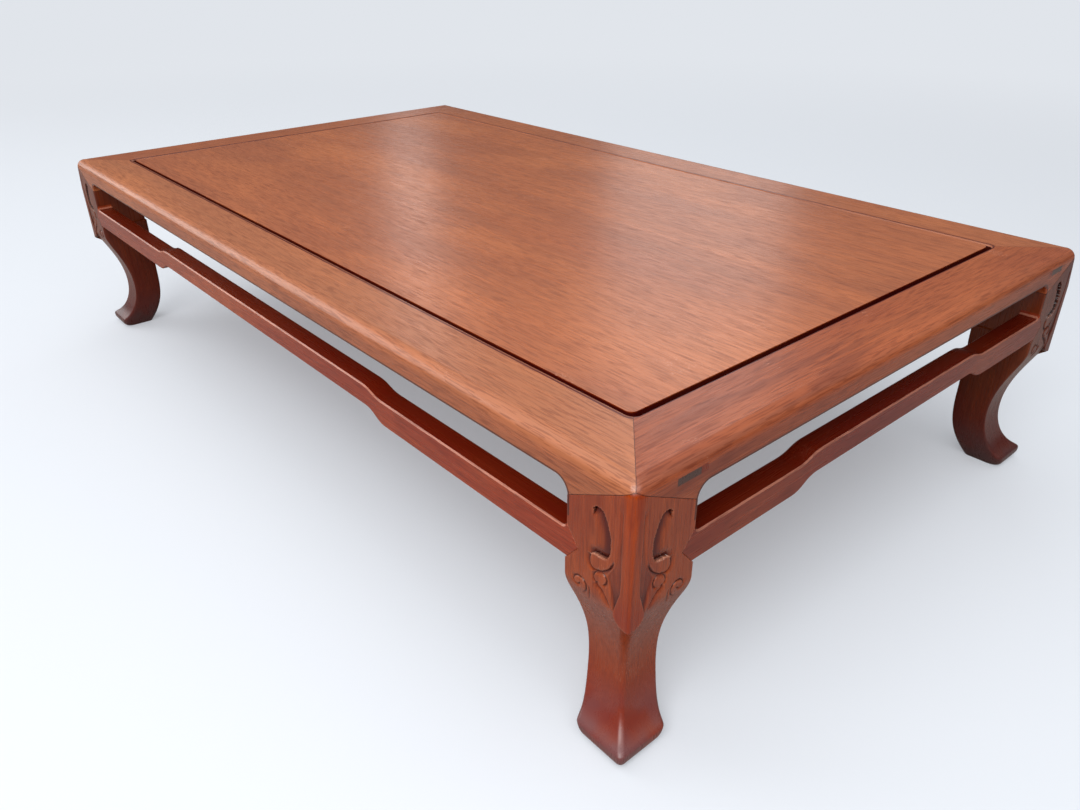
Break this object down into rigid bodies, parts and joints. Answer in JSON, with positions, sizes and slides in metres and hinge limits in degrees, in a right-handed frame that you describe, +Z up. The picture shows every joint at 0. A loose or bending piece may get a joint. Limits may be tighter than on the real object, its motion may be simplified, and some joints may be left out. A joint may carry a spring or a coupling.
{
  "type": "kang table",
  "caption": "Low hardwood table with a framed floating panel, three-way mitred corners, S-curved legs with carved scroll corners, and humpback stretchers with pointed shoulders.",
  "frame": {"origin": "centre of the footprint at floor level", "axes": "+X along the table, +Y across it towards the back, +Z up"},
  "size_m": [1.1, 0.648, 0.247],
  "materials": {
    "panel_wood": "satin, fine dark pores along the table",
    "rail_wood": "satin, grain along each rail",
    "leg_wood": "satin, upright grain, darker in the carving",
    "wedge_wood": "satin, end grain",
    "batten_wood": "satin, unseen side"
  },
  "bodies": {
    "root": {"long_rail_front": "rail_wood", "long_rail_back": "rail_wood", "short_rail_left": "rail_wood", "short_rail_right": "rail_wood", "panel": "panel_wood", "stretcher_front": "rail_wood", "stretcher_back": "rail_wood", "stretcher_left": "rail_wood", "stretcher_right": "rail_wood", "batten_1": "batten_wood", "batten_2": "batten_wood", "batten_3": "batten_wood", "leg_front_left": "leg_wood", "leg_front_right": "leg_wood", "leg_back_left": "leg_wood", "leg_back_right": "leg_wood", "wedge_front_left": "wedge_wood", "wedge_front_right": "wedge_wood", "wedge_back_left": "wedge_wood", "wedge_back_right": "wedge_wood"}
  },
  "joints": []
}
